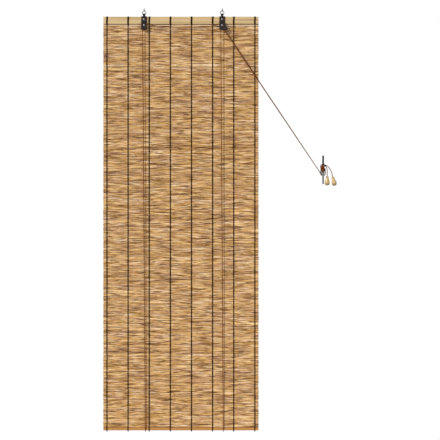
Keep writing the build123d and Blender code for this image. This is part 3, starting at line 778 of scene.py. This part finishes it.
def reed_rings(rng, height, radius):
    """Rings of all the reeds of one part of the mat, shaped (reeds, rings, sides, 3), and what their
    finish needs to know at each point."""
    count = len(height)
    low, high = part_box("reed_mat")
    width = high.x - low.x
    first = rng.uniform(0.02, 0.29, count)
    joints = np.stack([first, first + rng.uniform(0.23, 0.29, count)], axis=1)
    swell = rng.uniform(0.25, 1.0, (count, 2)) * (rng.random((count, 2)) > 0.18)
    near_joint = np.array([-0.006, -0.0015, 0.0, 0.0016, 0.007])
    regular = np.broadcast_to(np.linspace(0.0, width, 31), (count, 31))
    x = np.concatenate([regular, (joints[:, :, None] + near_joint).reshape(count, -1)], axis=1)
    x = np.sort(np.clip(x, 0.0, width), axis=1)
    start = rng.uniform(-0.6, 0.4, (count, 1)) * sizes().edge_fray
    finish = width - rng.uniform(-0.6, 0.4, (count, 1)) * sizes().edge_fray
    x = np.concatenate([start, start + 0.0004, x[:, 1:-1], finish - 0.0004, finish], axis=1)
    gap = x[:, :, None] - joints[:, None, :]
    ridge, hump = ((np.exp(-(gap / reach) ** 2) * swell[:, None]).sum(2) for reach in (0.0016, 0.009))
    taper = rng.normal(0, 0.03, (count, 1)) * (x / width - 0.5) * 2
    size = (radius[:, None] + sizes().reed_press) * (1 + taper) + 0.00028 * ridge + 0.0001 * hump
    phase = rng.uniform(0, 2 * np.pi, (count, 4, 1))
    wobble = sizes().reed_wobble
    dy = wobble * np.sin(x * rng.uniform(9, 22, (count, 1)) + phase[:, 0])
    dz = 0.5 * wobble * np.sin(x * rng.uniform(12, 30, (count, 1)) + phase[:, 1])
    dy = dy + rng.normal(0, 0.00012, (count, 1))
    hollow = sizes().reed_wall
    x = np.concatenate([start + CUT_DEPTH, start, x, finish, finish - CUT_DEPTH], axis=1)
    size = np.concatenate([size[:, :1] * hollow * 0.8, size[:, :1] * hollow, size,
                           size[:, -1:] * hollow, size[:, -1:] * hollow * 0.8], axis=1)
    dy, dz, ridge = (np.pad(part, ((0, 0), (2, 2)), mode="edge") for part in (dy, dz, ridge))
    angle = np.linspace(0, 2 * np.pi, REED_SIDES, endpoint=False)
    lobe = 1 + 0.035 * np.cos(2 * angle + phase[:, 2]) + 0.03 * np.cos(3 * angle + phase[:, 3])
    reach = size[:, :, None] * lobe[:, None, :]
    rings = np.empty(reach.shape + (3,))
    rings[..., 0] = low.x + x[:, :, None]
    rings[..., 1] = dy[:, :, None] + reach * np.cos(angle)
    rings[..., 2] = height[:, None, None] + dz[:, :, None] + reach * np.sin(angle)
    cut = np.zeros((1, x.shape[1], 1))
    cut[:, [0, 1, -2, -1]] = 1.0
    values = {"reed_tone": np.clip(rng.normal(0.5, 0.2, count), 0.0, 1.0)[:, None, None],
              "reed_seed": rng.random(count)[:, None, None], "reed_joint": ridge[:, :, None], "reed_cut": cut}
    return rings, {name: np.broadcast_to(value, reach.shape) for name, value in values.items()}


def lay_reeds(name, material, rings, attributes):
    piece = solid(name, list(rings), flat=(0, 1, -2, -1), attributes=attributes)
    finish_piece(piece, material, BLIND, ["reed_mat"])


class REED_BLIND_OT_reeds(bpy.types.Operator):
    """Lay the reeds of the mat one by one"""

    bl_idname = "reed_blind.reeds"
    bl_label = "Reeds"

    def execute(self, context):
        rng = np.random.default_rng(27)
        height, radius = reed_layout()
        material = reed_finish()
        for number, part in enumerate(np.array_split(np.arange(len(height)), MAT_PARTS), start=1):
            lay_reeds(f"reeds_{number}", material, *reed_rings(rng, height[part], radius[part]))
        # One thin reed fills each gap between slat, rod, mat and batten; it is painted dark as shade, since
        # these gaps would only show shade.
        upper = np.array([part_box(name)[0].z for name in ("top_slat", "top_rod", "reed_mat")])
        lower = np.array([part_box(name)[1].z for name in ("top_rod", "reed_mat", "bottom_batten")])
        rings, attributes = reed_rings(rng, (upper + lower) / 2, (upper - lower) / 2 + 0.0001)
        rings[..., 1] += 0.0004
        # Painted shade: the tone is pushed so low that these reeds come out umber.
        attributes["reed_tone"] = attributes["reed_tone"] - 2.0
        lay_reeds("painted_shade_reeds", material, rings, attributes)
        return {"FINISHED"}


class REED_BLIND_OT_rod(bpy.types.Operator):
    """Lay the pale stick under the slat"""

    bl_idname = "reed_blind.rod"
    bl_label = "Rod"

    def execute(self, context):
        low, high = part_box("top_rod")
        x = np.linspace(low.x, high.x, 61)
        along = x - low.x
        size = (high.z - low.z) / 2 * (0.95 + 0.05 * np.sin(along * 17 + 1) * np.sin(along * 5.3))
        for knot in (0.13, 0.37, 0.52):
            size = size + 0.0005 * np.exp(-((along - knot) / 0.004) ** 2)
        centre = (low.z + high.z) / 2
        line = np.stack([x, 0.0003 * np.sin(along * 11), centre + 0.00025 * np.sin(along * 8 + 2)], axis=1)
        sides = 16
        angle = np.linspace(0, 2 * np.pi, sides, endpoint=False)
        turn = np.random.default_rng(5).random()
        lobe = 1 + 0.04 * np.cos(3 * angle + turn) + 0.02 * np.cos(5 * angle)
        profile = circle(sides, 1.0) * lobe[:, None]
        piece = solid("pale_rod", [sweep(line, profile * size[:, None, None], side=(0, 1, 0))])
        material = wood_finish("rod_wood", colours().rod, (0.50, 0.30, 0.14), (16.0, 600.0, 600.0),
                               (0.05, 1.0, 1.0), 120.0, roughness=0.55, contrast=0.22)
        finish_piece(piece, material, BLIND, ["top_rod"])
        return {"FINISHED"}


class REED_BLIND_OT_slat_and_batten(bpy.types.Operator):
    """Finish the planed slat and the stained batten"""

    bl_idname = "reed_blind.slat_and_batten"
    bl_label = "Slat and Batten"

    def execute(self, context):
        hue = colours()
        dress(["top_slat"], wood_finish("slat_wood", hue.slat, (0.33, 0.185, 0.07), (5.0, 170.0, 170.0),
                                        (0.04, 1.0, 1.0), 40.0, coat=0.1, roughness=0.46, contrast=0.15,
                                        strength=0.12))
        dress(["bottom_batten"], wood_finish("batten_wood", hue.batten, (0.33, 0.13, 0.04),
                                             (8.0, 380.0, 380.0), (0.04, 1.0, 1.0), 70.0, coat=0.15,
                                             roughness=0.45, contrast=0.3, strength=0.15))
        return {"FINISHED"}


def twine_lines(x, height, radius):
    """The two yarns of one warp, as lines with their widths: twisted half a turn at each reed, and
    pulled narrower where they go over the slat."""
    slat_low, slat_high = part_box("top_slat")
    batten_low, batten_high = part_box("bottom_batten")
    rod_low, rod_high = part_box("top_rod")
    half_yarn = sizes().twine_thickness / 2
    face = slat_high.y + half_yarn
    places = np.concatenate([[(rod_low.z + rod_high.z) / 2], height])
    swing = np.concatenate([[(rod_high.z - rod_low.z) / 2], radius]) + half_yarn * 0.9
    step = np.arange(0, (len(places) - 1) * 5 + 1) / 5
    z = np.interp(step, np.arange(len(places)), places)
    reach = np.interp(step, np.arange(len(places)), swing)
    lines = []
    middle = (slat_low.z + slat_high.z) / 2
    for yarn, near in ((0, -1), (1, 1)):
        turn = np.pi * (step + yarn)
        woven = np.stack([x + sizes().twine_cross * np.sin(turn), -reach * np.cos(turn), z], axis=1)
        side = x + near * sizes().twine_width * 0.32
        over = rounded([
            (side, -near * 0.0012, slat_low.z - 0.0014),
            (side, -near * (face - 0.0002), slat_low.z - 0.0004),
            (side - 0.0006, -near * face, slat_low.z + 0.006),
            (side, -near * face, middle),
            (side + 0.0006, -near * face, slat_high.z - 0.001),
            (side + 0.0007, -near * (face - 0.001), slat_high.z + half_yarn),
            (side + 0.0007, near * (face - 0.001), slat_high.z + half_yarn),
            (side + 0.0006, near * face, slat_high.z - 0.001),
            (side, near * face, middle),
            (side - 0.0006, near * face, slat_low.z + 0.004),
            woven[0] + (0, 0, 0.0022),
            woven[0],
        ], 2)
        front = -1 if woven[-1, 1] < 0 else 1
        side = x + front * 0.0006
        under = rounded([
            woven[-1],
            (side, front * (face - 0.0004), batten_high.z + 0.001),
            (side, front * (face + 0.0001), batten_high.z - 0.003),
            (side, front * (face + 0.0001), batten_low.z + 0.0025),
            (x, front * (face - 0.001), batten_low.z - 0.0002),
            (x, front * 0.0012, batten_low.z - 0.0012),
            (x + front * 0.0002, front * 0.0006, batten_low.z - 0.0024),
        ], 2)
        line = np.concatenate([over[:-1], woven, under[1:]])
        pull = np.clip((np.arange(len(line)) - len(over) + 12) / 16, 0.0, 1.0)
        lines.append((line, 0.84 + 0.16 * pull))
    return lines


class REED_BLIND_OT_twine(bpy.types.Operator):
    """Bind the reeds with pairs of dark twine, knotted under the batten"""

    bl_idname = "reed_blind.twine"
    bl_label = "Twine"

    def execute(self, context):
        height, radius = reed_layout()
        material = plaited_finish("warp_twine", colours().twine, 520.0, 0.8, 0.0003, 0.02)
        rng = np.random.default_rng(3)
        yarn = circle(6, sizes().twine_width / 2, sizes().twine_thickness / 2, np.pi / 6)
        loop = 0.00052
        for number in range(1, WARPS + 1):
            low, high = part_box(f"warp_string_{number}")
            x = (low.x + high.x) / 2
            tubes = []
            for line, share in twine_lines(x, height, radius):
                width, thickness = share[:, None] * yarn[:, 0], np.ones((len(line), 1)) * yarn[:, 1]
                tubes.append(sweep(line, np.stack([width, thickness], axis=-1), side=(1, 0, 0)))
            angle = np.linspace(0, 2 * np.pi, 28)
            knot = np.stack([x + loop * (np.sin(angle) + 2 * np.sin(2 * angle)),
                             loop * (np.cos(angle) - 2 * np.cos(2 * angle)),
                             low.z + 0.0031 - 0.0007 * np.sin(3 * angle)], axis=1)
            tubes.append(sweep(knot, circle(6, 0.0008)))
            for lean in (-1, 1):
                spread = lean * rng.uniform(0.0004, 0.0013)
                tail = rounded([(x, 0, low.z + 0.0034), (x + spread * 0.6, 0.0002 * lean, low.z + 0.0018),
                                (x + spread * 1.4, 0.0005 * lean, low.z + rng.uniform(0.0001, 0.0006))], 1)
                tubes.append(sweep(tail, circle(6, 0.0006)))
            piece = solid(f"twine_{number}", tubes)
            finish_piece(piece, material, BLIND, [f"warp_string_{number}"])
        return {"FINISHED"}


# ---------------------------------------------------------------- fittings
def thread(name, base, axis, length, core, crest, taper, flank=0.24, cone=0.0):
    """A helical ridge round a screw's shank, fading out over its point."""
    pitch = sizes().thread_pitch
    steps = 20
    angle = np.arange(int(length / pitch * steps)) * 2 * np.pi / steps
    climb = angle / (2 * np.pi) * pitch
    left = np.clip((length - climb) / taper, 0.06, 1.0)
    start = np.clip(climb / (pitch * 0.7), 0.05, 1.0)
    axis, out = around(axis, angle)
    tip = core * left + (crest - core) * np.minimum(left, start) * (1 - cone * climb / length)
    centre = np.array(base) + climb[:, None] * axis
    root = centre + (core * left * 0.93)[:, None] * out
    side = flank * pitch * left[:, None] * axis
    return solid(name, [np.stack([root - side, centre + tip[:, None] * out, root + side], axis=1)])


# Where the ring's cut end leaves the ring and lies up against the shank, from the eye's middle.
EYE_WIRE_END = [(0.0050, -0.0048), (0.0037, -0.0035), (0.0024, -0.0018), (0.0018, -0.0003), (0.0016, 0.0013)]


class REED_BLIND_OT_screw_eyes(bpy.types.Operator):
    """Finish the two screw eyes, close their rings and cut their threads"""

    bl_idname = "reed_blind.screw_eyes"
    bl_label = "Screw Eyes"

    def execute(self, context):
        # Painted shade with blackened steel: the wire turns near black from the top of the ring up the shank,
        # and the thread ridge is near black too.
        wire = metal_finish("eye_wire", colours().wire, 1.0, 0.32, patch_shade=0.82,
                            fade=(-0.0018, -0.0062, (0.020, 0.019, 0.018), 1.0))
        dress([f"screw_eye_{side}" for side in SIDES], wire)
        dark = metal_finish("eye_thread", (0.036, 0.033, 0.031), 1.0, 0.45, patch_shade=0.6)
        for side in SIDES:
            low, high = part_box(f"screw_eye_{side}")
            centre = (low.x + high.x) / 2
            ridge = thread(f"eye_thread_{side}", (centre, 0.0, -0.0016), (0, 0, 1), high.z + 0.0012,
                           0.001, 0.0024, 0.0032, flank=0.46, cone=0.75)
            finish_piece(ridge, dark, FIXINGS)
            line = line_of([(centre + x, 0.0, z) for x, z in EYE_WIRE_END], 8)
            taper = np.clip(np.arange(len(line), 0, -1) / 5, 0.45, 1.0)
            stub = solid(f"eye_wire_end_{side}", [sweep(line, circle(12, 0.0012) * taper[:, None, None])])
            finish_piece(stub, wire, FIXINGS)
        return {"FINISHED"}


class REED_BLIND_OT_brackets(bpy.types.Operator):
    """Finish the hanging brackets, their rivets, axles and wheels"""

    bl_idname = "reed_blind.brackets"
    bl_label = "Brackets"

    def execute(self, context):
        hue = colours()
        bronze = metal_finish("bracket_steel", hue.bronze, 0.5, 0.36, worn=(0.30, 0.20, 0.13),
                              wear_radius=0.0005)
        rivet = metal_finish("rivet_metal", (0.30, 0.285, 0.285), 0.9, 0.42, patch_shade=0.8)
        nylon = metal_finish("wheel_plastic", hue.wheel, 0.0, 0.42, patch_shade=0.85, pits=0.08)
        for side in SIDES:
            dress([f"hanger_{side}", f"cheek_{side}"], bronze)
            dress([f"slat_rivet_{side}", f"wheel_axle_{side}"], rivet)
            dress([f"pulley_wheel_{side}"], nylon)
        dress(["roller_pin"], rivet)
        dress(["guide_roller"], nylon)
        return {"FINISHED"}


class REED_BLIND_OT_cleat(bpy.types.Operator):
    """Finish the cast cleat and its two screws"""

    bl_idname = "reed_blind.cleat"
    bl_label = "Cleat"

    def execute(self, context):
        low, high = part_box("cleat")
        wall = high.y
        # Painted reflection: the cast metal turns paler grey-green towards the cleat's bottom.
        cast = metal_finish("cleat_metal", colours().cleat, 0.45, 0.42, worn=(0.30, 0.31, 0.30),
                            wear_radius=0.0009, patch_shade=0.6, pits=0.3,
                            fade=(low.z + 0.038, low.z + 0.056, (0.205, 0.222, 0.214), 0.9))
        dress(["cleat"], cast)
        steel = metal_finish("screw_metal", (0.46, 0.44, 0.43), 1.0, 0.34, patch_shade=0.8)
        dress(["cleat_screw_upper", "cleat_screw_lower"], steel)
        for place in ("upper", "lower"):
            low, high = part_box(f"cleat_screw_{place}")
            middle = (low + high) / 2
            ridge = thread(f"cleat_thread_{place}", (middle.x, wall + 0.0006, middle.z), (0, 1, 0),
                           high.y - wall - 0.0012, 0.0014, 0.00195, 0.0036)
            finish_piece(ridge, steel, FIXINGS)
        return {"FINISHED"}


BLIND_MIDDLE = Vector((0.293, 0.0, -0.8))
FLOOR_HALF, FLOOR_LEVEL = 1.5, -1.85
# Each light's name, kind, place, aim, energy and softness.
LIGHTS = (
    ("key", "SUN", (-3.1, -2.7, 2.4), Vector(), 2.7, {"angle": math.radians(5.0)}),
    ("fill", "AREA", (2.6, -3.4, 0.2), BLIND_MIDDLE, 26.0, {"size": 2.2}),
    ("back", "AREA", (-1.2, 3.2, 0.6), BLIND_MIDDLE, 30.0, {"size": 2.4}),
)


class REED_BLIND_OT_stage(bpy.types.Operator):
    """Set the floor, the lights and the white surroundings"""

    bl_idname = "reed_blind.stage"
    bl_label = "Stage"

    def execute(self, context):
        scene = context.scene
        scene.view_settings.view_transform = "Standard"
        mesh = bpy.data.meshes.new("floor")
        corners = [(BLIND_MIDDLE.x + x * FLOOR_HALF, y * FLOOR_HALF, FLOOR_LEVEL)
                   for x, y in ((-1, -1), (1, -1), (1, 1), (-1, 1))]
        mesh.from_pydata(corners, [], [(0, 1, 2, 3)])
        floor = bpy.data.objects.new("floor", mesh)
        scene.collection.objects.link(floor)
        material, tree, shader, place = new_material("floor")
        cloud = placed(tree, patina(), Vector=place, Patch_Scale=2.0, Pit_Scale=60.0)
        pale = ramp(tree, cloud["Patches"], [(0.0, (0.76, 0.76, 0.76)), (1.0, (0.80, 0.80, 0.80))])
        feed(tree, shader, {"Base Color": pale, "Roughness": 0.7})
        mesh.materials.append(material)
        for name, kind, place, aim, energy, softness in LIGHTS:
            light = bpy.data.lights.new(name, kind)
            light.energy = energy
            for setting, value in softness.items():
                setattr(light, setting, value)
            lamp = bpy.data.objects.new(name, light)
            lamp.location = place
            lamp.rotation_euler = (aim - Vector(place)).to_track_quat("-Z", "Y").to_euler()
            scene.collection.objects.link(lamp)
        world = bpy.data.worlds.new("surroundings")
        scene.world = world
        world.use_nodes = True
        tree = world.node_tree
        tree.nodes.clear()
        seen = add(tree, "ShaderNodeBackground", {"Color": (1.0, 1.0, 1.0, 1.0), "Strength": 1.0})
        lit = add(tree, "ShaderNodeBackground", {"Color": (0.97, 0.98, 1.0, 1.0), "Strength": 0.42})
        path = add(tree, "ShaderNodeLightPath")
        mix = add(tree, "ShaderNodeMixShader",
                  {0: path.outputs["Is Camera Ray"], 1: lit.outputs[0], 2: seen.outputs[0]})
        add(tree, "ShaderNodeOutputWorld", {"Surface": mix.outputs[0]})
        return {"FINISHED"}


STEPS = (
    REED_BLIND_OT_camera,
    REED_BLIND_OT_lift_cords,
    REED_BLIND_OT_draw_cords,
    REED_BLIND_OT_cleat_turns,
    REED_BLIND_OT_pulls,
    REED_BLIND_OT_reeds,
    REED_BLIND_OT_rod,
    REED_BLIND_OT_slat_and_batten,
    REED_BLIND_OT_twine,
    REED_BLIND_OT_screw_eyes,
    REED_BLIND_OT_brackets,
    REED_BLIND_OT_cleat,
    REED_BLIND_OT_stage,
)


class REED_BLIND_PT_panel(bpy.types.Panel):
    """Lists the steps that build the blind, with its sizes and colours"""

    bl_idname = "REED_BLIND_PT_panel"
    bl_label = "Reed Roll Up Blind"
    bl_space_type = "VIEW_3D"
    bl_region_type = "UI"
    bl_category = "Reed Blind"

    def draw(self, context):
        for group in (context.scene.reed_blind_sizes, context.scene.reed_blind_colours):
            box = self.layout.box()
            for name in group.__annotations__:
                box.prop(group, name)
        for step in STEPS:
            self.layout.operator(step.bl_idname)


CLASSES = (ReedBlindSizes, ReedBlindColours, *STEPS, REED_BLIND_PT_panel)


def register():
    for item in CLASSES:
        bpy.utils.register_class(item)
    bpy.types.Scene.reed_blind_sizes = PointerProperty(type=ReedBlindSizes)
    bpy.types.Scene.reed_blind_colours = PointerProperty(type=ReedBlindColours)


def unregister():
    del bpy.types.Scene.reed_blind_colours
    del bpy.types.Scene.reed_blind_sizes
    for item in reversed(CLASSES):
        bpy.utils.unregister_class(item)


def main():
    register()
    for step in STEPS:
        group, name = step.bl_idname.split(".")
        getattr(getattr(bpy.ops, group), name)()


if __name__ == "__main__":
    main()
